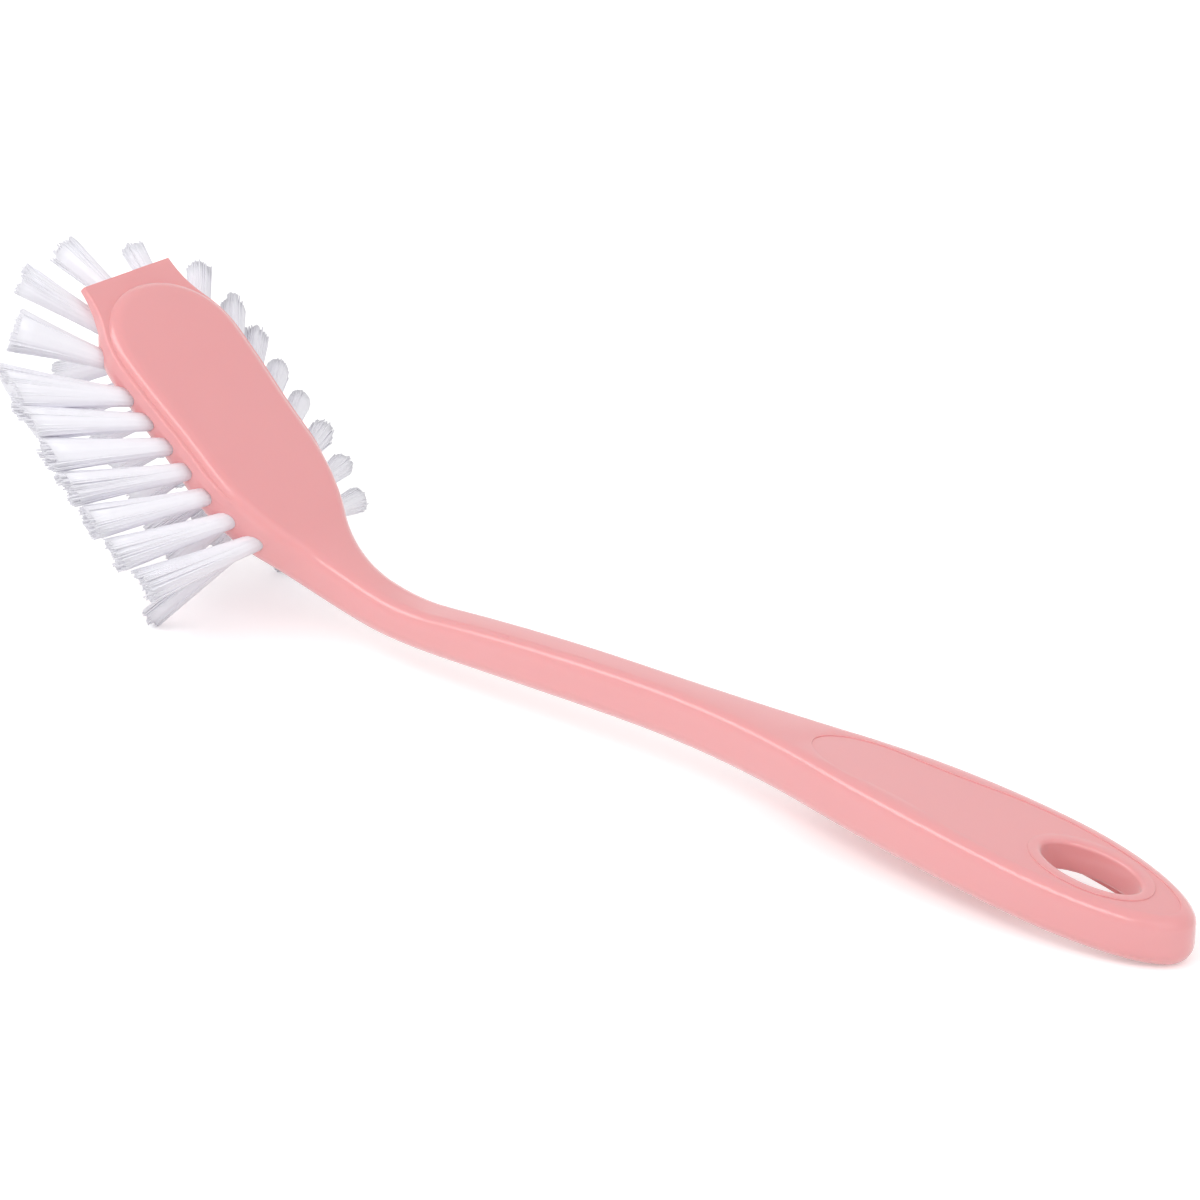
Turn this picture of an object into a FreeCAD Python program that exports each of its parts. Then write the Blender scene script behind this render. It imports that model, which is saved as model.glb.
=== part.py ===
"""Dish brush, in millimetres: a moulded body, bristle tufts set in drilled holes, and
the flat anchors that hold them.

The brush lies on a table as it would be put down: on the end of its handle and on the
tufts at the heel of its head. +X runs from the head to the end of the handle, the XZ
plane is the plane of symmetry, and the origin is the middle of the footprint, on the
table. The sizes below are the only numbers to change.
"""
import FreeCAD, Part
import math
import os
from FreeCAD import Placement, Rotation, Vector

SIZES = {
    # Top line of the body, seen from the side: a long bow, the neck bend and the head.
    "handle_length": 183.7,
    "handle_bow_radius": 724.0,
    "handle_end_angle": 9.1,
    "neck_bend_radius": 47.7,
    "head_tilt_angle": 38.3,
    "head_length": 65.4,
    "body_thickness": 10.0,
    # Outline of the handle, seen from above.
    "neck_half_width": 4.8,
    "grip_half_width": 13.5,
    "grip_flare_length": 95.0,
    "grip_end_length": 36.0,
    # Outline of the pad that the handle runs into, seen square to the head.
    "pad_half_width": 16.4,
    "pad_heel_half_width": 15.2,
    "pad_nose_length": 15.5,
    "pad_setback": 3.5,
    "pad_taper_length": 27.5,
    "shoulder_length": 40.5,
    "pad_rise": 1.8,
    # Thin plate under the pad. Its straight front edge is the scraper.
    "plate_thickness": 2.4,
    "plate_ledge": 0.8,
    "plate_flare_length": 18.0,
    "scraper_half_width": 12.6,
    "scraper_tab": 1.5,
    "scraper_edge": 1.2,
    "scraper_taper": 8.0,
    # Rounded edges.
    "top_edge_radius": 2.8,
    "bottom_edge_radius": 3.6,
    "plate_edge_radius": 0.5,
    # Hang hole, square to the grip, and the shallow panel sunk in the top around it.
    "hang_hole_half_length": 10.8,
    "hang_hole_half_width": 5.75,
    "hang_hole_setback": 23.0,
    "hang_hole_lip": 0.9,
    "hang_hole_foot": 1.2,
    "hang_ring_width": 2.6,
    "panel_depth": 0.25,
    "panel_edge_radius": 0.12,
    "panel_margin": 3.3,
    "panel_length": 88.0,
    "panel_start_length": 16.0,
    # Hollow in the underside of the grip, which leaves the hang hole a short wall.
    "hollow_depth": 4.0,
    "hollow_margin": 1.9,
    # Drilled holes, tufts and anchors.
    "hole_radius": 1.9,
    "hole_depth": 6.5,
    "tuft_clearance": 0.05,
    "anchor_thickness": 0.4,
    "anchor_height": 1.6,
    "anchor_bite": 0.25,
    "fold_height": 0.8,
    # Layout of the tufts: two side rows, the nose, two middle rows and the heel pair.
    "side_row_pitch": 6.6,
    "side_row_start": 63.0,
    "side_row_depth": 5.2,
    "side_tuft_length": 23.5,
    "nose_row_depth": 5.5,
    "nose_row_length": 13.5,
    "nose_row_half_width": 15.0,
    "nose_tuft_length": 18.5,
    "middle_row_offset": 4.2,
    "middle_row_pitch": 6.5,
    "middle_row_start": 53.0,
    "middle_tuft_length": 22.0,
    "heel_pair_offset": 7.2,
    "heel_pair_setback": 60.2,
    "heel_tuft_length": 26.75,
    "side_tip_radius": 3.2,
    "nose_tip_radius": 3.0,
    "middle_tip_radius": 2.4,
    "heel_tip_radius": 2.6,
    # How far every cutting shape runs past what it cuts.
    "cut_overrun": 2.0,
}

# Where the plate's ledge dies out, as a share of the way from the pad's heel to the neck.
PLATE_END_SHARE = 0.75
# Thickness of the body along its top line: share of the way from the end of the handle
# to the scraper, and share of body_thickness. The line starts a little past the end.
THICKNESS_SHARES = [
    (-0.02, 1.0), (0.12, 1.06), (0.28, 1.09), (0.45, 1.05), (0.62, 0.92), (0.72, 0.96),
    (0.80, 1.14), (0.88, 1.04), (1.0, 1.0),
]
SIDE_ROW_COUNT = 7
NOSE_PAIR_COUNT = 2
MIDDLE_ROW_COUNT = 7

# Directions of the tufts, in degrees: lean is the turn towards the scraper, droop the
# angle below the plate, splay the turn outwards from square to the head.
SIDE_LEAN = (12.0, 40.0)
SIDE_DROOP = (29.0, 21.0)
NOSE_LEAN = (49.0, 90.0)
NOSE_AROUND = (20.0, 90.0)
NOSE_DROOP = (9.0, 16.0)
MIDDLE_LEAN = (8.0, 28.0)
MIDDLE_SPLAY = 4.0
HEEL_LEAN = 1.0
HEEL_SPLAY = 29.0

ACROSS = Vector(0, 1, 0)
UP = Vector(0, 0, 1)

doc = FreeCAD.newDocument("dish_brush")
sheet = doc.addObject("Spreadsheet::Sheet", "sizes")
for row, (alias, value) in enumerate(SIZES.items(), 1):
    sheet.set(f"A{row}", alias)
    sheet.set(f"B{row}", str(value))
    sheet.setAlias(f"B{row}", alias)
doc.recompute()


def size(alias):
    """Value of one named size, read from the sheet."""
    return float(sheet.get(alias))


def add(kind, name, bound=None, **values):
    """New document object with some properties bound to expressions on the sheet."""
    obj = doc.addObject(kind, name)
    for key, value in values.items():
        setattr(obj, key, value)
    for key, expression in (bound or {}).items():
        obj.setExpression(key, expression)
    return obj


def shape_object(name, shape):
    """Document object for a profile worked out from the sizes."""
    return add("Part::Feature", name, Shape=shape)


def angle_of(alias):
    return math.radians(size(alias))


class TopLine:
    """Top line of the body in the XZ plane, measured from the end of the handle.

    The crown of the bow, where the line is level, is at the origin.
    """

    def __init__(self):
        self.bow = size("handle_bow_radius")
        self.bend = size("neck_bend_radius")
        self.end_angle = angle_of("handle_end_angle")
        self.tilt = angle_of("head_tilt_angle")
        self.bow_length = size("handle_length")
        self.neck_angle = self.end_angle - self.bow_length / self.bow
        self.bend_length = (self.tilt - self.neck_angle) * self.bend
        self.length = self.bow_length + self.bend_length + size("head_length")
        self.bow_centre = Vector(0, 0, -self.bow)
        neck = self.bow_centre + self.normal(self.neck_angle) * self.bow
        self.bend_centre = neck + self.normal(self.neck_angle) * self.bend

    @staticmethod
    def normal(angle):
        return Vector(math.sin(angle), 0, math.cos(angle))

    def at(self, distance):
        """Point and upward normal at a distance from the end of the handle."""
        if distance <= self.bow_length:
            up = self.normal(self.end_angle - distance / self.bow)
            return self.bow_centre + up * self.bow, up
        along = distance - self.bow_length
        if along <= self.bend_length:
            up = self.normal(self.neck_angle + along / self.bend)
            return self.bend_centre - up * self.bend, up
        up = self.normal(self.tilt)
        start = self.bend_centre - up * self.bend
        return start + up.cross(ACROSS) * (along - self.bend_length), up

    def edges(self, first):
        """The bow from a first distance, the bend and the head: two arcs and a line."""
        neck = self.bow_length
        head = neck + self.bend_length
        found = []
        for start, end in ((first, neck), (neck, head)):
            middle = self.at((start + end) / 2)[0]
            found.append(Part.Arc(self.at(start)[0], middle, self.at(end)[0]).toShape())
        found.append(Part.makeLine(self.at(head)[0], self.at(self.length)[0]))
        return found


top = TopLine()
handle_end = top.at(0.0)[0]
scraper_top, head_up = top.at(top.length)
head_back = ACROSS.cross(head_up)
head_origin = scraper_top - head_up * size("pad_rise")


def on_head(back, across, above=0.0):
    """Point of the head: distance back from the scraper, across, and above the plate."""
    return head_origin + head_back * back + ACROSS * across + head_up * above


def on_plan(along, across):
    return Vector(along, across, 0)


def flare(start, end):
    """Two equal arcs between points given as (along, half width), level at both ends."""
    run = (end[0] - start[0]) / 2
    rise = (end[1] - start[1]) / 2
    radius = (run * run + rise * rise) / (2 * abs(rise))
    half_turn = math.atan2(abs(run), radius - abs(rise)) / 2
    step = math.copysign(radius * math.sin(half_turn), run)
    lift = math.copysign(radius * (1 - math.cos(half_turn)), rise)
    middle = (start[0] + run, start[1] + rise)
    first = (start, (start[0] + step, start[1] + lift), middle)
    second = (middle, (end[0] - step, end[1] - lift), end)
    return [first, second]


def mirrored_sides(place, stretches):
    """Edges of both sides of an outline; a stretch has two points, or three for an arc."""
    edges = []
    for side in (1, -1):
        for stretch in stretches:
            points = [place(along, side * across) for along, across in stretch]
            if len(points) == 3:
                edges.append(Part.Arc(*points).toShape())
            else:
                edges.append(Part.makeLine(*points))
    return edges


def round_end(centre, side, nose):
    """Half an ellipse from centre + side, round by centre + nose, to centre - side."""
    if nose.Length >= side.Length:
        ellipse = Part.Ellipse(centre + nose, centre + side, centre)
        return Part.ArcOfEllipse(ellipse, -math.pi / 2, math.pi / 2).toShape()
    ellipse = Part.Ellipse(centre + side, centre + nose, centre)
    return Part.ArcOfEllipse(ellipse, 0, math.pi).toShape()


def face_of(edges):
    return Part.Face(Part.Wire(Part.__sortEdges__(edges)))


def prism(name, face, direction, forward, back):
    """A face carried both ways along a direction."""
    profile = shape_object(name + "_outline", face)
    return add("Part::Extrusion", name, {"LengthFwd": forward, "LengthRev": back},
               Base=profile, DirMode="Custom", Dir=direction, Solid=True)


def common(name, *shapes):
    return add("Part::MultiCommon", name, Shapes=list(shapes))


def is_cross_line(edge):
    """True for a straight edge that runs square to the plane of symmetry."""
    ends = [vertex.Point for vertex in edge.Vertexes]
    return abs((ends[-1] - ends[0]).dot(ACROSS)) > 0.99 * edge.Length


def rim_edges(shape, guide):
    """Numbers of the edges that follow a guide wire of the XZ plane, seen from the side."""
    close = size("plate_edge_radius") / 10
    found = []
    for number, edge in enumerate(shape.Edges, 1):
        if is_cross_line(edge):
            continue
        points = edge.discretize(5)
        flat = [Part.Vertex(point.x, 0, point.z) for point in points]
        if all(guide.distToShape(vertex)[0] < close for vertex in flat):
            found.append(number)
    return found


def rounded(name, block, rims):
    """Fillet along the rims that follow each guide, with that guide's radius."""
    doc.recompute()
    edges = []
    for guide, radius in rims:
        edges += [(number, radius, radius) for number in rim_edges(block.Shape, guide)]
    return add("Part::Fillet", name, Base=block, Edges=edges)


# The slab: the side view of the handle, neck and pad, carried across the whole width.
stations = [share * top.length for share, _ in THICKNESS_SHARES]
depths = [share * size("body_thickness") for _, share in THICKNESS_SHARES]
lower_points = []
for station, depth in zip(stations, depths):
    point, up = top.at(station)
    lower_points.append(point - up * depth)
lower_curve = Part.BSplineCurve()
lower_curve.interpolate(lower_points)
upper_guide = Part.Wire(top.edges(stations[0]))
lower_guide = Part.Wire([lower_curve.toShape()])
side_face = face_of(
    upper_guide.Edges + lower_guide.Edges
    + [Part.makeLine(top.at(stations[0])[0], lower_points[0]),
       Part.makeLine(scraper_top, lower_points[-1])])
slab = prism("side_slab", side_face, ACROSS,
             "sizes.pad_half_width + sizes.cut_overrun", "sizes.pad_half_width + sizes.cut_overrun")

# The handle: the slab inside an outline drawn from above, as far as the neck.
neck_width = size("neck_half_width")
grip_width = size("grip_half_width")
grip_centre = handle_end.x - size("grip_end_length")
flare_start = grip_centre - size("grip_flare_length")
junction = top.at(top.bow_length)[0].x
handle_sides = [((junction, neck_width), (flare_start, neck_width))]
handle_sides += flare((flare_start, neck_width), (grip_centre, grip_width))
handle_face = face_of(
    mirrored_sides(on_plan, handle_sides)
    + [Part.makeLine(on_plan(junction, neck_width), on_plan(junction, -neck_width)),
       round_end(on_plan(grip_centre, 0), ACROSS * grip_width,
                 Vector(size("grip_end_length"), 0, 0))])
handle_prism = prism("handle_prism", handle_face, UP,
                     "sizes.handle_length", "sizes.handle_length")
handle_block = common("handle_block", slab, handle_prism)

# The pad: the slab inside an outline drawn square to the head, up to the same neck.
nose_centre = size("pad_setback") + size("pad_nose_length")
pad_heel = nose_centre + size("pad_taper_length")
shoulder_end = pad_heel + size("shoulder_length")
pad_end = shoulder_end + size("head_length")
pad_sides = flare((nose_centre, size("pad_half_width")), (pad_heel, size("pad_heel_half_width")))
pad_sides += flare((pad_heel, size("pad_heel_half_width")), (shoulder_end, neck_width))
pad_sides += [((shoulder_end, neck_width), (pad_end, neck_width))]
pad_face = face_of(
    mirrored_sides(on_head, pad_sides)
    + [Part.makeLine(on_head(pad_end, neck_width), on_head(pad_end, -neck_width)),
       round_end(on_head(nose_centre, 0), ACROSS * size("pad_half_width"),
                 head_back * -size("pad_nose_length"))])
pad_prism = prism("pad_prism", pad_face, head_up, "sizes.head_length", "sizes.head_length")
pad_room = add("Part::Box", "pad_room",
               {"Length": "2 * sizes.handle_length", "Width": "2 * sizes.handle_length",
                "Height": "4 * sizes.handle_length"})
pad_room.Placement = Placement(
    Vector(junction - 2 * size("handle_length"), -size("handle_length"),
           -2 * size("handle_length")), Rotation())
pad_block = common("pad_block", slab, pad_prism, pad_room)

rims = [(upper_guide, size("top_edge_radius")), (lower_guide, size("bottom_edge_radius"))]
handle_round = rounded("handle_round", handle_block, rims)
pad_round = rounded("pad_round", pad_block, rims)

# The plate: a thin wedge with its own outline and a straight front edge.
plate_width = size("pad_half_width") + size("plate_ledge")
plate_heel_width = size("pad_heel_half_width") + size("plate_ledge")
plate_wide = size("scraper_tab") + size("plate_flare_length")
scraper_width = size("scraper_half_width")
plate_end = pad_heel + (shoulder_end - pad_heel) * PLATE_END_SHARE
plate_sides = [((0.0, scraper_width), (size("scraper_tab"), scraper_width))]
plate_sides += flare((size("scraper_tab"), scraper_width), (plate_wide, plate_width))
plate_sides += flare((plate_wide, plate_width), (pad_heel, plate_heel_width))
plate_sides += flare((pad_heel, plate_heel_width), (plate_end, neck_width))
plate_face = face_of(
    mirrored_sides(on_head, plate_sides)
    + [Part.makeLine(on_head(at, width), on_head(at, -width))
       for at, width in ((0.0, scraper_width), (plate_end, neck_width))])
plate_prism = prism("plate_prism", plate_face, head_up,
                    "sizes.body_thickness", "sizes.body_thickness")
wedge_points = [
    on_head(0, 0), on_head(plate_end, 0),
    on_head(plate_end, 0, -size("plate_thickness")),
    on_head(size("scraper_taper"), 0, -size("plate_thickness")),
    on_head(0, 0, -size("scraper_edge")), on_head(0, 0)]
plate_slab = prism("plate_slab", Part.Face(Part.makePolygon(wedge_points)), ACROSS,
                   "sizes.pad_half_width + sizes.cut_overrun",
                   "sizes.pad_half_width + sizes.cut_overrun")
plate_block = common("plate_block", plate_slab, plate_prism)
plate_guide = Part.Wire([Part.makeLine(on_head(0, 0), on_head(plate_end, 0))])
plate_round = rounded("plate_round", plate_block, [(plate_guide, size("plate_edge_radius"))])

# The hang hole, the panel around it and the hollow below, all square to the grip there.
hole_spot, hole_up = top.at(size("hang_hole_setback"))
grip_way = ACROSS.cross(hole_up)


def on_grip(back, across):
    """Point level with the rim of the hang hole: back from the end of the handle, and across."""
    return hole_spot + grip_way * (size("hang_hole_setback") - back) + ACROSS * across


def hole_oval(margin):
    """Face of the hang hole's oval, larger by a margin all round."""
    long_way = grip_way * (size("hang_hole_half_length") + margin)
    short_way = ACROSS * (size("hang_hole_half_width") + margin)
    oval = Part.Ellipse(hole_spot + long_way, hole_spot + short_way, hole_spot)
    return face_of([oval.toShape()])


def grip_face(margin):
    """Long face inside the outline of the grip, narrow towards the neck, less a margin."""
    width = grip_width - margin
    straight = size("panel_length") - size("panel_start_length")
    start_width = width * size("panel_start_length") / (
        size("panel_start_length") + 2 * size("panel_margin"))
    end_length = size("grip_end_length")
    sides = flare((straight, start_width), (end_length, width))
    return face_of(
        mirrored_sides(on_grip, sides)
        + [round_end(on_grip(end_length, 0), ACROSS * width, grip_way * (end_length - margin)),
           round_end(on_grip(straight, 0), ACROSS * start_width,
                     grip_way * -size("panel_start_length"))])


def grip_prism(name, face):
    """A face of the grip carried through the whole thickness."""
    return prism(name, face, hole_up, "2 * sizes.body_thickness", "2 * sizes.body_thickness")


def capped(curve_edges, towards):
    """Face between a line of the XZ plane and the same line's ends moved along a vector."""
    wire = Part.Wire(Part.__sortEdges__(curve_edges))
    first, last = (vertex.Point for vertex in (wire.OrderedVertexes[0], wire.OrderedVertexes[-1]))
    return face_of(wire.Edges + [
        Part.makeLine(first, first + towards), Part.makeLine(last, last + towards),
        Part.makeLine(first + towards, last + towards)])


hang_hole = grip_prism("hang_hole", hole_oval(0.0))
panel_face = grip_face(size("panel_margin")).cut(hole_oval(size("hang_ring_width")))
panel_prism = grip_prism("panel_prism", panel_face)
sunk_line = Part.Arc(*[point - up * size("panel_depth") for point, up in
                       (top.at(0.0), top.at(top.bow_length / 2), top.at(top.bow_length))])
panel_slab = prism("panel_slab", capped([sunk_line.toShape()], UP * size("body_thickness")), ACROSS,
                   "sizes.grip_half_width", "sizes.grip_half_width")
panel_cutter = common("panel_cutter", panel_slab, panel_prism)

hollow_prism = grip_prism("hollow_prism", grip_face(size("hollow_margin")))
hollow_curve = Part.BSplineCurve()
hollow_curve.interpolate([
    top.at(station)[0] - top.at(station)[1] * (depth - size("hollow_depth"))
    for station, depth in zip(stations, depths) if station < top.bow_length])
hollow_slab = prism("hollow_slab", capped([hollow_curve.toShape()], UP * -2 * size("body_thickness")),
                    ACROSS, "sizes.grip_half_width", "sizes.grip_half_width")
hollow_cutter = common("hollow_cutter", hollow_slab, hollow_prism)


def wall_edges(shape, tool, guide):
    """Numbers of the edges that follow a guide, seen from the side, on the walls of a tool."""
    close = size("plate_edge_radius") / 10
    walls = Part.Compound(tool.Faces)
    found = []
    for number in rim_edges(shape, guide):
        points = shape.Edges[number - 1].discretize(5)
        if all(walls.distToShape(Part.Vertex(point))[0] < close for point in points):
            found.append(number)
    return found


def eased(name, block, tool, guide, radius):
    """Fillet along the edges that a tool has cut, where they follow a guide."""
    doc.recompute()
    edges = [(number, radius, radius) for number in wall_edges(block.Shape, tool.Shape, guide)]
    return add("Part::Fillet", name, Base=block, Edges=edges)


body_blank = add("Part::MultiFuse", "body_blank", Shapes=[handle_round, pad_round, plate_round])
body_panel = add("Part::Cut", "body_panel", Base=body_blank, Tool=panel_cutter)
panel_eased = eased("panel_eased", body_panel, panel_prism, upper_guide, size("panel_edge_radius"))
body_hollow = add("Part::Cut", "body_hollow", Base=panel_eased, Tool=hollow_cutter)
body_pierced = add("Part::Cut", "body_pierced", Base=body_hollow, Tool=hang_hole)
lip_eased = eased("lip_eased", body_pierced, hang_hole, upper_guide, size("hang_hole_lip"))
hollow_guide = Part.Wire([hollow_curve.toShape()])
body_hung = eased("body_hung", lip_eased, hang_hole, hollow_guide, size("hang_hole_foot"))
doc.recompute()


# The tufts. Each is set along its own line: the root is where that line leaves the body.
def pad_half_width_at(back):
    """Half width of the pad's outline at a distance back from the scraper."""
    across = Part.makeLine(on_head(back, 0), on_head(back, size("handle_length")))
    return max(vertex.Point.y for vertex in pad_face.common(across).Vertexes)


def head_direction(lean, out, down, side):
    """Unit direction from a lean towards the scraper and the outward and downward parts."""
    turn = math.radians(lean)
    towards = head_back * (-math.sin(turn) * out) + ACROSS * (side * math.cos(turn) * out)
    return (towards - head_up * down).normalize()


def between(span, share):
    return span[0] + (span[1] - span[0]) * share


def tuft_lines():
    """Name, inner point, direction, free length and tip radius of every tuft."""
    lines = []
    sides = (("near", -1), ("far", 1))
    for index in range(SIDE_ROW_COUNT):
        share = index / (SIDE_ROW_COUNT - 1)
        back = size("side_row_start") - index * size("side_row_pitch")
        droop = math.radians(between(SIDE_DROOP, share))
        for word, side in sides:
            root = on_head(back, side * pad_half_width_at(back), -size("side_row_depth"))
            way = head_direction(between(SIDE_LEAN, share), math.cos(droop), math.sin(droop), side)
            lines.append((f"tuft_{word}_side_{index + 1}", root, way,
                          "side_tuft_length", "side_tip_radius"))
    for index in range(NOSE_PAIR_COUNT + 1):
        share = index / NOSE_PAIR_COUNT
        lean = between(NOSE_LEAN, share)
        droop = math.radians(between(NOSE_DROOP, share))
        around = math.radians(between(NOSE_AROUND, share))
        back = nose_centre - size("nose_row_length") * math.sin(around)
        across = size("nose_row_half_width") * math.cos(around)
        chosen = sides if index < NOSE_PAIR_COUNT else (("centre", 1),)
        for word, side in chosen:
            root = on_head(back, side * across, -size("nose_row_depth"))
            way = head_direction(lean, math.cos(droop), math.sin(droop), side)
            lines.append((f"tuft_{word}_nose_{index + 1}", root, way,
                          "nose_tuft_length", "nose_tip_radius"))
    for index in range(MIDDLE_ROW_COUNT):
        share = index / (MIDDLE_ROW_COUNT - 1)
        back = size("middle_row_start") - index * size("middle_row_pitch")
        lean = math.radians(between(MIDDLE_LEAN, share))
        splay = math.radians(MIDDLE_SPLAY)
        for word, side in sides:
            root = on_head(back, side * size("middle_row_offset"), -size("body_thickness"))
            way = (ACROSS * (side * math.sin(splay)) - head_back * math.sin(lean)
                   - head_up * math.cos(lean)).normalize()
            lines.append((f"tuft_{word}_middle_{index + 1}", root, way,
                          "middle_tuft_length", "middle_tip_radius"))
    lean = math.radians(HEEL_LEAN)
    splay = math.radians(HEEL_SPLAY)
    for word, side in sides:
        root = on_head(size("heel_pair_setback"), side * size("heel_pair_offset"),
                       -size("body_thickness"))
        way = (ACROSS * (side * math.sin(splay)) - head_back * math.sin(lean)
               - head_up * math.cos(splay)).normalize()
        lines.append((f"tuft_{word}_heel", root, way, "heel_tuft_length", "heel_tip_radius"))
    return lines


def mouth_of(point, way):
    """Where a tuft's line leaves the pad."""
    reach = size("pad_half_width")
    inside = Part.makeLine(point - way * reach, point + way * reach).common(pad_round.Shape)
    return max((vertex.Point for vertex in inside.Vertexes), key=lambda spot: spot.dot(way))


tufts = []
anchors = []
drills = []
for name, point, way, length, tip in tuft_lines():
    mouth = mouth_of(point, way)
    turn = Rotation(UP, way)
    floor = Placement(mouth - way * size("hole_depth"), turn)
    drill = add("Part::Cylinder", name + "_hole",
                {"Radius": "sizes.hole_radius", "Height": "sizes.hole_depth + sizes.cut_overrun"},
                Placement=floor)
    anchor = add("Part::Box", name + "_anchor",
                 {"Length": "sizes.anchor_thickness", "Height": "sizes.anchor_height",
                  "Width": "2 * (sizes.hole_radius + sizes.anchor_bite)"})
    corner = Vector(-size("anchor_thickness") / 2, -size("hole_radius") - size("anchor_bite"),
                    size("fold_height"))
    anchor.Placement = floor.multiply(Placement(corner, Rotation()))
    rings = [
        add("Part::Circle", name + "_fold", {"Radius": "sizes.hole_radius - sizes.tuft_clearance"},
            Placement=Placement(mouth - way * (size("hole_depth") - size("tuft_clearance")), turn)),
        add("Part::Circle", name + "_mouth", {"Radius": "sizes.hole_radius - sizes.tuft_clearance"},
            Placement=Placement(mouth, turn)),
        add("Part::Circle", name + "_tip", {"Radius": "sizes." + tip},
            Placement=Placement(mouth + way * size(length), turn)),
    ]
    bundle = add("Part::Loft", name + "_bundle", Sections=rings, Solid=True, Ruled=True)
    tufts.append(add("Part::Cut", name, Base=bundle, Tool=anchor))
    anchors.append(anchor)
    drills.append(drill)

tuft_anchors = add("Part::Compound", "tuft_anchors", Links=anchors)
cutters = add("Part::Compound", "cutters", Links=drills + anchors)
moulded_body = add("Part::Cut", "moulded_body", Base=body_hung, Tool=cutters)
doc.recompute()

pieces = [moulded_body, tuft_anchors] + tufts
for obj in doc.Objects:
    if "Invalid" in obj.State or "Error" in obj.State:
        raise RuntimeError(f"{obj.Name} did not build: {obj.State}")
for piece in pieces:
    if piece.Shape.isNull() or not piece.Shape.isValid():
        raise RuntimeError(f"{piece.Name} has no valid shape")
    piece.Label = piece.Name

# The origin is the middle of the footprint, so every piece moves by the same step.
box = FreeCAD.BoundBox()
for piece in pieces:
    box.add(piece.Shape.optimalBoundingBox(False))
seat = Placement(Vector(-box.Center.x, 0, -box.ZMin), Rotation())
os.makedirs("parts", exist_ok=True)
for piece in pieces:
    piece.Placement = seat.multiply(piece.Placement)
    piece.Shape.exportStep(f"parts/{piece.Label}.step")
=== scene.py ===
"""Dish brush on a white table: a moulded body, bristle tufts of single filaments, and a stage."""

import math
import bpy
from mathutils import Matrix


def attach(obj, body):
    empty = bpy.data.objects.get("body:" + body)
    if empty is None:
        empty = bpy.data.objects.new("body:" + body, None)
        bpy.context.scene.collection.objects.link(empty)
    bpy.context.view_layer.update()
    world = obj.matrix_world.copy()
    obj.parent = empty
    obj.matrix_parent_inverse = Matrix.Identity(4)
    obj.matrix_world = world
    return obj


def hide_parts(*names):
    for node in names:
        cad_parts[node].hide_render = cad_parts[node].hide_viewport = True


bl_info = {
    "name": "Dish Brush",
    "version": (1, 0, 0),
    "blender": (4, 5, 0),
    "location": "View3D > Sidebar > Dish Brush",
    "description": "Dresses a moulded dish brush with its plastic, its bristle filaments and a stage",
    "category": "Object",
}

import bpy
import numpy as np
from bpy.props import (FloatProperty, FloatVectorProperty, IntProperty, PointerProperty,
                       StringProperty)
from mathutils import Matrix, Vector

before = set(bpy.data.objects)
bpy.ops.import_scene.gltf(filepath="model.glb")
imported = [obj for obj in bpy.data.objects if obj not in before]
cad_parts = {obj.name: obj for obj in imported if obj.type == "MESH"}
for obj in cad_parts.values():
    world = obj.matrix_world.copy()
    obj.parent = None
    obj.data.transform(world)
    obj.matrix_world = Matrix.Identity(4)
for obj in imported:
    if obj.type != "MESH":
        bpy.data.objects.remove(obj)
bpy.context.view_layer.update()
BODY = "root"
MM = 0.001
FULL_TURN = 2 * math.pi
GOLDEN_ANGLE = math.pi * (3 - math.sqrt(5))
NEARLY_UPRIGHT = 0.9

# How the body's mesh is joined and shaded.
SEAM_GAP = 0.001 * MM
CREASE_ANGLE = math.radians(50)

# Tufts, and the slices at a solid tuft's ends in which its end rings are looked for.
TUFT_NODES = sorted(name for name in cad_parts
                    if name.startswith("tuft_") and name != "tuft_anchors")
CORNER_TUFTS = ("tuft_near_nose_1", "tuft_near_side_7")
END_SLICES = (0.4 * MM, 0.1 * MM, 0.02 * MM)

# Filaments of a tuft. Shares are of the tuft's radius, insets and the lift of a filament's diameter.
FILAMENT_RINGS = 6
SPREAD_POWER = 1.3
SKIN_SHARE = 0.92
INNER_SHARE = 0.85
CLUMP_SHARE = 0.6
CLUMP_SECTORS = 6
CLUMPS = 2 * CLUMP_SECTORS
ROOT_INSET = 0.45
TIP_INSET = 0.5
TABLE_LIFT = 0.6
TONE_SEED = 1000

# Packed middle of a tuft.
CORE_RINGS = 7
CORE_SIDES = 48
CORE_SHARE = 0.94
CORE_FLUTES = 12
FLUTE_DEPTH = 0.02
CORE_TONE = 0.5

# Stage. The ceiling band is where the ceiling begins and is reached, as a sine of the angle upwards.
TABLE_HALF = 6.0
TABLE_GLOW = 0.3
LAMP_TARGET = (0, 0, 0.02)
KEY_PLACE = (-0.20, -0.68, 0.88)
KEY_SIZE = (1.6, 0.40)
FILL_PLACE = (0.90, -0.30, 0.90)
FILL_SIZE = (0.8, 0.8)
CEILING_BAND = (0.35, 0.65)
SENSOR_WIDTH = 36.0
CLIP_RANGE = (0.05, 30.0)


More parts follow.
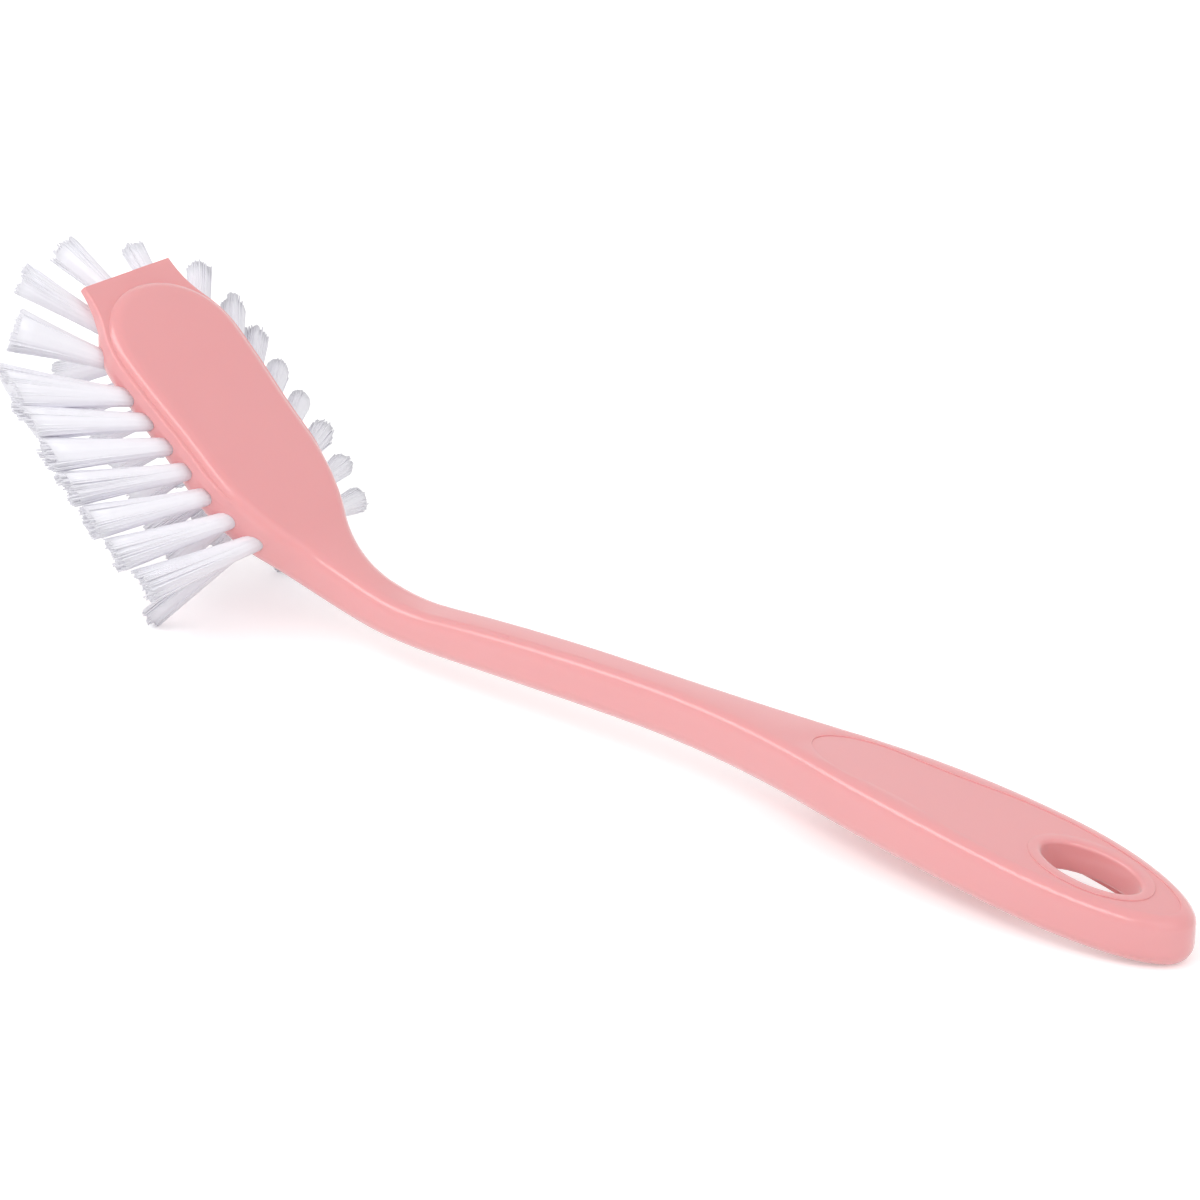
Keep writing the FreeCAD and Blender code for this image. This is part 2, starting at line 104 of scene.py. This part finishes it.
class BrushSizes(bpy.types.PropertyGroup):
    """Sizes of the filaments."""

    filament_diameter: FloatProperty(
        name="Filament diameter", description="Thickness of one filament",
        default=0.36 * MM, min=0.1 * MM, max=1 * MM, precision=5, unit="LENGTH")
    skin_count: IntProperty(
        name="Skin filaments", description="Filaments side by side round the outside of a tuft",
        default=66, min=8, max=120)
    inner_count: IntProperty(
        name="Inner filaments", description="Filaments whose ends stand out of a tuft's packed middle",
        default=100, min=8, max=250)
    near_flare: FloatProperty(
        name="Near flare", description="Spread of the near tufts' tips, against the solid tufts'",
        default=1.15, min=0.5, max=2)
    corner_flare: FloatProperty(
        name="Corner flare", description="Spread of the two tufts at the near corner of the nose",
        default=1.6, min=0.5, max=2)
    far_flare: FloatProperty(
        name="Far flare", description="Spread of the far tufts' tips, which have opened less",
        default=0.82, min=0.5, max=2)
    far_trim: FloatProperty(
        name="Far trim", description="How much shorter the far side and nose tufts are trimmed",
        default=1.9 * MM, min=0, max=8 * MM, precision=5, unit="LENGTH")
    filament_sides: IntProperty(
        name="Filament sides", description="Sides of a filament's section",
        default=5, min=3, max=12)
    root_depth: FloatProperty(
        name="Root depth", description="How far the filaments are drawn inside their hole",
        default=2.0 * MM, min=0, max=6 * MM, precision=5, unit="LENGTH")
    hole_depth: FloatProperty(
        name="Hole depth", description="Depth of the tuft's fold below the mouth of its hole",
        default=6.45 * MM, min=1 * MM, max=12 * MM, precision=5, unit="LENGTH")
    core_setback: FloatProperty(
        name="Core setback", description="How far the packed middle of a tuft ends before its tip",
        default=0.5 * MM, min=0, max=10 * MM, precision=5, unit="LENGTH")
    clump_raggedness: FloatProperty(
        name="Clump raggedness", description="How unevenly the clumps of a tuft are trimmed",
        default=0.6 * MM, min=0, max=3 * MM, precision=5, unit="LENGTH")
    filament_raggedness: FloatProperty(
        name="Filament raggedness", description="How unevenly single filaments are trimmed",
        default=0.22 * MM, min=0, max=2 * MM, precision=5, unit="LENGTH")
    stray: FloatProperty(
        name="Stray", description="How far a filament's end strays sideways",
        default=0.16 * MM, min=0, max=2 * MM, precision=5, unit="LENGTH")


class BrushColours(bpy.types.PropertyGroup):
    """Colours of the brush and its stage, as sRGB hex values."""

    plastic: StringProperty(
        name="Plastic", description="Colour of the moulded body", default="E9A2A3")
    plastic_deep: StringProperty(
        name="Plastic, deeper", description="Where the moulded body is a shade deeper", default="E69C9E")
    nylon: StringProperty(
        name="Nylon", description="Colour of the palest filaments", default="EEEDF3")
    nylon_shade: StringProperty(
        name="Nylon, shaded", description="Colour of the darkest filaments", default="E8E6ED")
    brass: StringProperty(
        name="Brass", description="Colour of the anchors", default="C9A45C")
    board: StringProperty(
        name="Board", description="Colour of the table", default="F4F4F4")


class BrushStage(bpy.types.PropertyGroup):
    """The camera's place and the light."""

    camera_place: FloatVectorProperty(
        name="Camera place", description="Where the camera stands",
        default=(0.67991, -0.82889, 0.49514), subtype="TRANSLATION")
    camera_target: FloatVectorProperty(
        name="Camera target", description="What the middle of the picture shows",
        default=(0.00249, 0.0, 0.03041), subtype="TRANSLATION")
    camera_roll: FloatProperty(
        name="Camera roll", description="Turn of the camera about its own axis",
        default=math.radians(1.92), subtype="ANGLE")
    lens: FloatProperty(
        name="Lens", description="Focal length in millimetres", default=180.0, min=10, max=500)
    key_power: FloatProperty(
        name="Key lamp", description="Power of the long lamp over the near side, in watts",
        default=5.0, min=0)
    gloss_power: FloatProperty(
        name="Gloss lamp", description="Power of the key lamp's twin, which only the gloss shows, in watts",
        default=16.0, min=0)
    fill_power: FloatProperty(
        name="Fill lamp", description="Power of the lamp high up beyond the grip's end, in watts",
        default=1.8, min=0)
    room: FloatProperty(
        name="Room", description="Strength of the room's even light",
        default=1.0, min=0, max=1)
    dark_ceiling: FloatProperty(
        name="Dark ceiling", description="Strength of the ceiling as the gloss mirrors it",
        default=0.3, min=0, max=1)
    passes: IntProperty(
        name="Light passes", description="How often light may pass on between the filaments",
        default=12, min=1, max=64)


def linear(hex_colour):
    """Linear RGBA of an sRGB hex colour, by the two-part sRGB curve."""
    srgb = np.array([int(hex_colour[i:i + 2], 16) for i in (0, 2, 4)]) / 255
    values = np.where(srgb <= 0.04045, srgb / 12.92, ((srgb + 0.055) / 1.055) ** 2.4)
    return (*values.tolist(), 1.0)


def add_node(tree, kind, inputs=None, **settings):
    """Adds one node: settings are its own properties, inputs are values or outputs to link."""
    node = tree.nodes.new(kind)
    for key, value in settings.items():
        setattr(node, key, value)
    for key, value in (inputs or {}).items():
        if isinstance(value, bpy.types.NodeSocket):
            tree.links.new(value, node.inputs[key])
        else:
            node.inputs[key].default_value = value
    return node


def new_material(name):
    """An empty material and its node tree."""
    material = bpy.data.materials.new(name)
    material.use_nodes = True
    material.node_tree.nodes.clear()
    return material, material.node_tree


def moulded_polypropylene(colours):
    """Polypropylene straight from a polished mould: an even satin gloss, with soft broad
    highlights, a fine orange peel and slow changes of shade where the melt flowed."""
    flow_width = 40 * MM
    # The peel of such a surface is about 0.3 mm wide; it is drawn wider so that it shows.
    peel_width = 0.9 * MM
    peel_depth = 0.03 * MM
    material, tree = new_material("moulded_polypropylene")
    place = add_node(tree, "ShaderNodeTexCoord").outputs["Object"]
    flow = add_node(tree, "ShaderNodeTexNoise",
                    {"Vector": place, "Scale": 1 / flow_width, "Detail": 2.0}).outputs["Fac"]
    peel = add_node(tree, "ShaderNodeTexNoise",
                    {"Vector": place, "Scale": 1 / peel_width, "Detail": 3.0}).outputs["Fac"]
    shade = add_node(tree, "ShaderNodeMix",
                     {"Factor": flow, "A": linear(colours.plastic), "B": linear(colours.plastic_deep)},
                     data_type="RGBA")
    gloss = add_node(tree, "ShaderNodeMapRange",
                     {"Value": peel, "From Min": 0.3, "From Max": 0.7, "To Min": 0.13, "To Max": 0.17})
    bump = add_node(tree, "ShaderNodeBump",
                    {"Height": peel, "Strength": 0.03, "Distance": peel_depth})
    shader = add_node(tree, "ShaderNodeBsdfPrincipled",
                      {"Base Color": shade.outputs["Result"], "Roughness": gloss.outputs["Result"],
                       "Normal": bump.outputs["Normal"], "IOR": 1.49,
                       "Subsurface Weight": 0.10, "Subsurface Scale": 2 * MM,
                       "Sheen Weight": 0.4, "Sheen Roughness": 0.5})
    add_node(tree, "ShaderNodeOutputMaterial", {"Surface": shader.outputs["BSDF"]})
    return material


def nylon_filament(colours):
    """Drawn nylon 6 filament: milky white, with a soft gloss. Every filament has its own tone,
    and is a touch darker here and there along its length."""
    patch_length = 3 * MM
    material, tree = new_material("nylon_filament")
    tone = add_node(tree, "ShaderNodeAttribute", attribute_name="tone").outputs["Fac"]
    place = add_node(tree, "ShaderNodeTexCoord").outputs["Object"]
    patches = add_node(tree, "ShaderNodeTexNoise",
                       {"Vector": place, "Scale": 1 / patch_length, "Detail": 2.0}).outputs["Fac"]
    mixed = add_node(tree, "ShaderNodeMath", {0: tone, 1: patches}, operation="MULTIPLY")
    shade = add_node(tree, "ShaderNodeMix",
                     {"Factor": mixed.outputs["Value"], "A": linear(colours.nylon),
                      "B": linear(colours.nylon_shade)}, data_type="RGBA")
    gloss = add_node(tree, "ShaderNodeMapRange",
                     {"Value": patches, "To Min": 0.34, "To Max": 0.48})
    shader = add_node(tree, "ShaderNodeBsdfPrincipled",
                      {"Base Color": shade.outputs["Result"], "Roughness": gloss.outputs["Result"],
                       "IOR": 1.53, "Specular IOR Level": 0.2})
    add_node(tree, "ShaderNodeOutputMaterial", {"Surface": shader.outputs["BSDF"]})
    return material


def cut_brass_strip(colours):
    """Brass strip cut to short anchors: a warm metal with fine rolling marks."""
    mark_width = 0.2 * MM
    material, tree = new_material("cut_brass_strip")
    place = add_node(tree, "ShaderNodeTexCoord").outputs["Object"]
    marks = add_node(tree, "ShaderNodeTexNoise",
                     {"Vector": place, "Scale": 1 / mark_width, "Detail": 3.0}).outputs["Fac"]
    gloss = add_node(tree, "ShaderNodeMapRange", {"Value": marks, "To Min": 0.25, "To Max": 0.45})
    shader = add_node(tree, "ShaderNodeBsdfPrincipled",
                      {"Base Color": linear(colours.brass), "Metallic": 1.0,
                       "Roughness": gloss.outputs["Result"]})
    add_node(tree, "ShaderNodeOutputMaterial", {"Surface": shader.outputs["BSDF"]})
    return material


def white_board(colours):
    """Matt white board. It glows a little for the eye alone, straight or through gloss and glass,
    so that it reads as pure white where no shadow falls on it, and it lights the brush only as a
    white board does."""
    material, tree = new_material("white_board")
    seen = add_node(tree, "ShaderNodeLightPath")
    direct = add_node(tree, "ShaderNodeMath",
                      {0: seen.outputs["Is Camera Ray"], 1: seen.outputs["Is Glossy Ray"]},
                      operation="MAXIMUM")
    either = add_node(tree, "ShaderNodeMath",
                      {0: direct.outputs["Value"], 1: seen.outputs["Is Transmission Ray"]},
                      operation="MAXIMUM")
    glow = add_node(tree, "ShaderNodeMath", {0: either.outputs["Value"], 1: TABLE_GLOW},
                    operation="MULTIPLY")
    matt = add_node(tree, "ShaderNodeBsdfDiffuse", {"Color": linear(colours.board)})
    light = add_node(tree, "ShaderNodeEmission", {"Strength": glow.outputs["Value"]})
    both = add_node(tree, "ShaderNodeAddShader",
                    {0: matt.outputs["BSDF"], 1: light.outputs["Emission"]})
    add_node(tree, "ShaderNodeOutputMaterial", {"Surface": both.outputs["Shader"]})
    return material


def node_points(name):
    """Corner points of a solid's mesh."""
    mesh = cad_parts[name].data
    points = np.empty(len(mesh.vertices) * 3, np.float32)
    mesh.vertices.foreach_get("co", points)
    return points.reshape(-1, 3).astype(float)


def tuft_ends(name):
    """Centres and radii of a tuft's two end rings, the fold's first and the tip's second.

    The rings are the points furthest each way along the axis, which starts as the direction of
    greatest spread and is redrawn between the two centres, with a thinner slice each time. The
    fold's ring is the smaller one."""
    points = node_points(name)
    axis = np.linalg.svd(points - points.mean(0), full_matrices=False)[2][0]
    for depth in END_SLICES:
        along = points @ axis
        rings = [points[along < along.min() + depth], points[along > along.max() - depth]]
        centres = [(ring.min(0) + ring.max(0)) / 2 for ring in rings]
        axis = (centres[1] - centres[0]) / np.linalg.norm(centres[1] - centres[0])
    radii = [np.linalg.norm(ring - centre, axis=1).max() for ring, centre in zip(rings, centres)]
    order = np.argsort(radii)
    return [(centres[i], radii[i]) for i in order]


def square_to(axis):
    """Two unit vectors square to an axis and to each other, the first level where it can be."""
    helper = (0.0, 0.0, 1.0) if abs(axis[2]) < NEARLY_UPRIGHT else (1.0, 0.0, 0.0)
    side = np.cross(axis, helper)
    side /= np.linalg.norm(side)
    return side, np.cross(axis, side)


def even_turns(count):
    """Angles in equal steps round a full turn."""
    return np.arange(count) * (FULL_TURN / count)


def on_circle(turn):
    """Points of the unit circle at the given angles."""
    return np.stack([np.cos(turn), np.sin(turn)], axis=1)


def tube_faces(count, rings, sides):
    """Faces of closed tubes whose points are numbered by tube, then ring, then side.

    Neighbouring rings are joined by four-sided walls, and each end is closed by one face."""
    index = np.arange(count * rings * sides).reshape(count, rings, sides)
    following = np.roll(index, -1, axis=2)
    walls = np.stack([index[:, :-1], following[:, :-1], following[:, 1:], index[:, 1:]], axis=-1)
    ends = np.concatenate([index[:, 0, ::-1], index[:, -1]])
    return walls.reshape(-1, 4), ends


def tube_grid(lines, radius, across, sides):
    """Closed tubes round many lines at once.

    Ring j of line i is lines[i, j] + radius * (cos a * u + sin a * v), with a in equal steps and
    u and v the two vectors across the tuft."""
    turn = even_turns(sides)
    ring = radius * (np.cos(turn)[:, None] * across[0] + np.sin(turn)[:, None] * across[1])
    points = lines[:, :, None, :] + ring
    return points.reshape(-1, 3), *tube_faces(*lines.shape[:2], sides)


def tuft_frame(fold, tip):
    """A tuft's axis, its length and two unit vectors square to the axis."""
    length = np.linalg.norm(tip[0] - fold[0])
    axis = (tip[0] - fold[0]) / length
    return axis, length, np.stack(square_to(axis))


def tip_radius_of(node, radius, sizes):
    """Radius that a tuft's filaments spread to.

    The heel and the far tufts have opened less, the two at the near corner most."""
    if node in CORNER_TUFTS:
        return radius * sizes.corner_flare
    closed = "far" in node or "heel" in node
    return radius * (sizes.far_flare if closed else sizes.near_flare)


def free_length(node, length, sizes):
    """Length of a tuft from the mouth of its hole, less the trim of the far outer tufts."""
    trimmed = node.startswith(("tuft_far_side", "tuft_far_nose"))
    return length - sizes.hole_depth - (sizes.far_trim if trimmed else 0.0)


def drawn_start(fold_centre, axis, sizes):
    """Where a tuft is drawn from, a little inside its hole."""
    return fold_centre + axis * (sizes.hole_depth - sizes.root_depth)


def above_table(points, sizes):
    """The points, with those that would lie in the table bent up to lie on it."""
    points[:, :, 2] = np.maximum(points[:, :, 2], TABLE_LIFT * sizes.filament_diameter)
    return points


def head_run():
    """Unit vector along the head, from the heel to the nose."""
    run = tuft_ends("tuft_near_middle_7")[0][0] - tuft_ends("tuft_near_middle_1")[0][0]
    run[1] = 0.0
    return run / np.linalg.norm(run)


def tip_slope(node, axis, across):
    """Slope of a tuft's trimmed end: along the head for the rows, square for nose and heel."""
    if "nose" in node or "heel" in node:
        return np.zeros(2)
    run = head_run()
    cut = axis - (axis @ run) * run
    return -(across @ cut) / (axis @ cut)


def filament_lines(node, fold, tip, sizes, seed):
    """Centre lines of the filaments of one tuft.

    Skin filaments stand at even turns, between SKIN_SHARE of the radius and all of it. Inner
    filament k of n is at INNER_SHARE sqrt((k + 1/2) / n) of the radius, turned k golden angles.
    All spread from the hole's radius to the tip's as t ** SPREAD_POWER, end on a slanted plane,
    a little early or late with their clump and by themselves, and bend where they meet the table.
    The clumps are sectors, once within CLUMP_SHARE of the radius and once outside it."""
    rng = np.random.default_rng(seed)
    (fold_centre, fold_radius), (_, tip_radius) = fold, tip
    axis, length, across = tuft_frame(fold, tip)
    skin, inner = sizes.skin_count, sizes.inner_count
    share = np.concatenate([rng.uniform(SKIN_SHARE, 1.0, skin),
                            INNER_SHARE * np.sqrt((np.arange(inner) + 0.5) / inner)])
    turn = np.concatenate([even_turns(skin), np.arange(inner) * GOLDEN_ANGLE])
    turn = turn + rng.uniform(0, FULL_TURN)
    disc = share[:, None] * on_circle(turn)
    sector = np.floor((turn % FULL_TURN) / FULL_TURN * CLUMP_SECTORS).astype(int)
    clump = sector + CLUMP_SECTORS * (share > CLUMP_SHARE)
    root = disc * (fold_radius - ROOT_INSET * sizes.filament_diameter)
    spread = disc * (tip_radius_of(node, tip_radius, sizes) - TIP_INSET * sizes.filament_diameter)
    spread = spread + rng.normal(0, sizes.stray, spread.shape)
    spread = spread + rng.normal(0, sizes.stray, (CLUMPS, 2))[clump]
    reach = free_length(node, length, sizes) + spread @ tip_slope(node, axis, across)
    reach = reach + rng.normal(0, sizes.clump_raggedness, CLUMPS)[clump]
    reach = reach + rng.normal(0, sizes.filament_raggedness, len(turn))
    steps = np.linspace(0, 1, FILAMENT_RINGS)
    opened = (steps ** SPREAD_POWER)[None, :, None]
    along = steps[None, :] * (reach + sizes.root_depth)[:, None]
    sideways = root[:, None, :] + (spread - root)[:, None, :] * opened
    lines = drawn_start(fold_centre, axis, sizes) + along[:, :, None] * axis + sideways @ across
    return above_table(lines, sizes), across


def core_grid(node, fold, tip, sizes):
    """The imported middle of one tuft, where no single filament can be told apart.

    A closed tube along the axis of radius r(t) (1 + FLUTE_DEPTH cos(CORE_FLUTES a)), with r(t)
    from the hole's radius to CORE_SHARE of the tip's, spread as t ** SPREAD_POWER like the
    filaments. Its end has their slant."""
    (fold_centre, fold_radius), (_, tip_radius) = fold, tip
    axis, length, across = tuft_frame(fold, tip)
    steps = np.linspace(0, 1, CORE_RINGS)
    turn = even_turns(CORE_SIDES)
    flute = 1 + FLUTE_DEPTH * np.cos(CORE_FLUTES * turn)
    end_radius = CORE_SHARE * tip_radius_of(node, tip_radius, sizes)
    radius = fold_radius + (end_radius - fold_radius) * steps ** SPREAD_POWER
    disc = flute[:, None] * on_circle(turn) * radius[:, None, None]
    reach = free_length(node, length, sizes) + sizes.root_depth - sizes.core_setback
    along = steps[:, None] * (reach + disc[-1] @ tip_slope(node, axis, across))
    points = drawn_start(fold_centre, axis, sizes) + along[:, :, None] * axis + disc @ across
    points = above_table(points, sizes)
    return points.reshape(-1, 3), *tube_faces(1, CORE_RINGS, CORE_SIDES)


def mesh_piece(name, points, faces, material, node):
    """An object at the origin that stands for a solid and rides with it."""
    mesh = bpy.data.meshes.new(name)
    mesh.from_pydata(points.tolist(), [], faces)
    mesh.update()
    piece = bpy.data.objects.new(name, mesh)
    bpy.context.scene.collection.objects.link(piece)
    mesh.materials.append(material)
    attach(piece, BODY)
    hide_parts(node)
    return piece


class BRUSH_OT_body(bpy.types.Operator):
    """Gives the moulded body its plastic."""

    bl_idname = "dish_brush.body"
    bl_label = "Moulded Body"

    def execute(self, context):
        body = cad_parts["moulded_body"]
        body.data.materials.clear()
        body.data.materials.append(moulded_polypropylene(context.scene.brush_colours))
        # The solid's mesh is loose triangles. They are joined, parted again at the creases, and
        # shaded by the angles of their corners, which keeps the highlights even.
        body.modifiers.new("joined_seams", "WELD").merge_threshold = SEAM_GAP
        body.modifiers.new("sharp_edges", "EDGE_SPLIT").split_angle = CREASE_ANGLE
        body.modifiers.new("even_shading", "WEIGHTED_NORMAL").mode = "CORNER_ANGLE"
        return {"FINISHED"}


class BRUSH_OT_tufts(bpy.types.Operator):
    """Puts a bundle of filaments in the place of every tuft."""

    bl_idname = "dish_brush.tufts"
    bl_label = "Bristle Tufts"

    def execute(self, context):
        sizes = context.scene.brush_sizes
        nylon = nylon_filament(context.scene.brush_colours)
        for seed, node in enumerate(TUFT_NODES):
            fold, tip = tuft_ends(node)
            lines, across = filament_lines(node, fold, tip, sizes, seed)
            points, walls, ends = tube_grid(lines, sizes.filament_diameter / 2, across,
                                            sizes.filament_sides)
            core_points, core_walls, core_ends = core_grid(node, fold, tip, sizes)
            faces = (walls.tolist() + (core_walls + len(points)).tolist()
                     + ends.tolist() + (core_ends + len(points)).tolist())
            piece = mesh_piece(node.replace("tuft_", "bristles_"),
                               np.concatenate([points, core_points]), faces, nylon, node)
            smooth = np.arange(len(faces)) < len(walls) + len(core_walls)
            piece.data.polygons.foreach_set("use_smooth", smooth)
            rng = np.random.default_rng(TONE_SEED + seed)
            tones = np.repeat(rng.uniform(0, 1, len(lines)), len(points) // len(lines))
            tones = np.concatenate([tones, np.full(len(core_points), CORE_TONE)])
            tone = piece.data.attributes.new("tone", "FLOAT", "POINT")
            tone.data.foreach_set("value", tones.astype(np.float32))
        return {"FINISHED"}


class BRUSH_OT_anchors(bpy.types.Operator):
    """Gives the anchors inside the holes their brass."""

    bl_idname = "dish_brush.anchors"
    bl_label = "Anchors"

    def execute(self, context):
        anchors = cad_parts["tuft_anchors"]
        anchors.data.materials.clear()
        anchors.data.materials.append(cut_brass_strip(context.scene.brush_colours))
        return {"FINISHED"}


def facing(place, target, roll=0.0):
    """Matrix of a lamp or camera at a place that looks at a target."""
    look = (Vector(target) - Vector(place)).to_track_quat("-Z", "Y").to_matrix().to_4x4()
    return Matrix.Translation(place) @ look @ Matrix.Rotation(roll, 4, "Z")


def soft_lamp(name, place, size, power):
    """A rectangular lamp that shines on the brush."""
    data = bpy.data.lights.new(name, "AREA")
    data.shape = "RECTANGLE"
    data.size, data.size_y = size
    data.energy = power
    lamp = bpy.data.objects.new(name, data)
    lamp.matrix_world = facing(place, LAMP_TARGET)
    bpy.context.scene.collection.objects.link(lamp)
    return lamp


def bright_room(stage):
    """White room with even light, whose ceiling is dark where the gloss mirrors it."""
    room = bpy.data.worlds.new("bright_room")
    room.use_nodes = True
    tree = room.node_tree
    tree.nodes.clear()
    way = add_node(tree, "ShaderNodeTexCoord").outputs["Generated"]
    height = add_node(tree, "ShaderNodeSeparateXYZ", {"Vector": way}).outputs["Z"]
    mirrored = add_node(tree, "ShaderNodeLightPath").outputs["Is Glossy Ray"]
    ceiling = add_node(tree, "ShaderNodeMapRange",
                       {"Value": mirrored, "To Min": stage.room, "To Max": stage.dark_ceiling})
    strength = add_node(tree, "ShaderNodeMapRange",
                        {"Value": height, "From Min": CEILING_BAND[0], "From Max": CEILING_BAND[1],
                         "To Min": stage.room, "To Max": ceiling.outputs["Result"]},
                        interpolation_type="SMOOTHSTEP")
    light = add_node(tree, "ShaderNodeBackground", {"Strength": strength.outputs["Result"]})
    add_node(tree, "ShaderNodeOutputWorld", {"Surface": light.outputs["Background"]})
    return room


def stage_camera(stage):
    """The camera at its place, turned to its target."""
    data = bpy.data.cameras.new("camera")
    data.sensor_width = SENSOR_WIDTH
    data.lens = stage.lens
    data.clip_start, data.clip_end = CLIP_RANGE
    camera = bpy.data.objects.new("camera", data)
    camera.matrix_world = facing(stage.camera_place, stage.camera_target, stage.camera_roll)
    bpy.context.scene.collection.objects.link(camera)
    return camera


class BRUSH_OT_stage(bpy.types.Operator):
    """Sets the table, the camera and the soft light."""

    bl_idname = "dish_brush.stage"
    bl_label = "Stage"

    def execute(self, context):
        scene = context.scene
        stage = scene.brush_stage
        mesh = bpy.data.meshes.new("table")
        corners = [(TABLE_HALF * x, TABLE_HALF * y, 0) for x, y in ((-1, -1), (1, -1), (1, 1), (-1, 1))]
        mesh.from_pydata(corners, [], [(0, 1, 2, 3)])
        mesh.materials.append(white_board(scene.brush_colours))
        table = bpy.data.objects.new("table", mesh)
        scene.collection.objects.link(table)
        soft_lamp("key_lamp", KEY_PLACE, KEY_SIZE, stage.key_power)
        soft_lamp("gloss_lamp", KEY_PLACE, KEY_SIZE, stage.gloss_power).visible_diffuse = False
        soft_lamp("fill_lamp", FILL_PLACE, FILL_SIZE, stage.fill_power)
        scene.world = bright_room(stage)
        scene.camera = stage_camera(stage)
        scene.view_settings.view_transform = "Standard"
        scene.cycles.diffuse_bounces = stage.passes
        return {"FINISHED"}


class BRUSH_PT_panel(bpy.types.Panel):
    """Lists the brush's sizes, colours and pieces."""

    bl_idname = "BRUSH_PT_panel"
    bl_label = "Dish Brush"
    bl_space_type = "VIEW_3D"
    bl_region_type = "UI"
    bl_category = "Dish Brush"

    def draw(self, context):
        for group in (context.scene.brush_sizes, context.scene.brush_colours,
                      context.scene.brush_stage):
            box = self.layout.box()
            for key in group.__annotations__:
                box.prop(group, key)
        for operator in OPERATORS:
            self.layout.operator(operator.bl_idname)


GROUPS = {"brush_sizes": BrushSizes, "brush_colours": BrushColours, "brush_stage": BrushStage}
OPERATORS = (BRUSH_OT_body, BRUSH_OT_tufts, BRUSH_OT_anchors, BRUSH_OT_stage)
CLASSES = (*GROUPS.values(), *OPERATORS, BRUSH_PT_panel)


def register():
    """Makes the classes known, and hangs the property groups on the scene."""
    for cls in CLASSES:
        bpy.utils.register_class(cls)
    for key, group in GROUPS.items():
        setattr(bpy.types.Scene, key, PointerProperty(type=group))


def unregister():
    """Takes back what register does."""
    for key in GROUPS:
        delattr(bpy.types.Scene, key)
    for cls in reversed(CLASSES):
        bpy.utils.unregister_class(cls)


def main():
    """Builds every piece in order."""
    register()
    bpy.ops.dish_brush.body()
    bpy.ops.dish_brush.tufts()
    bpy.ops.dish_brush.anchors()
    bpy.ops.dish_brush.stage()


if __name__ == "__main__":
    main()
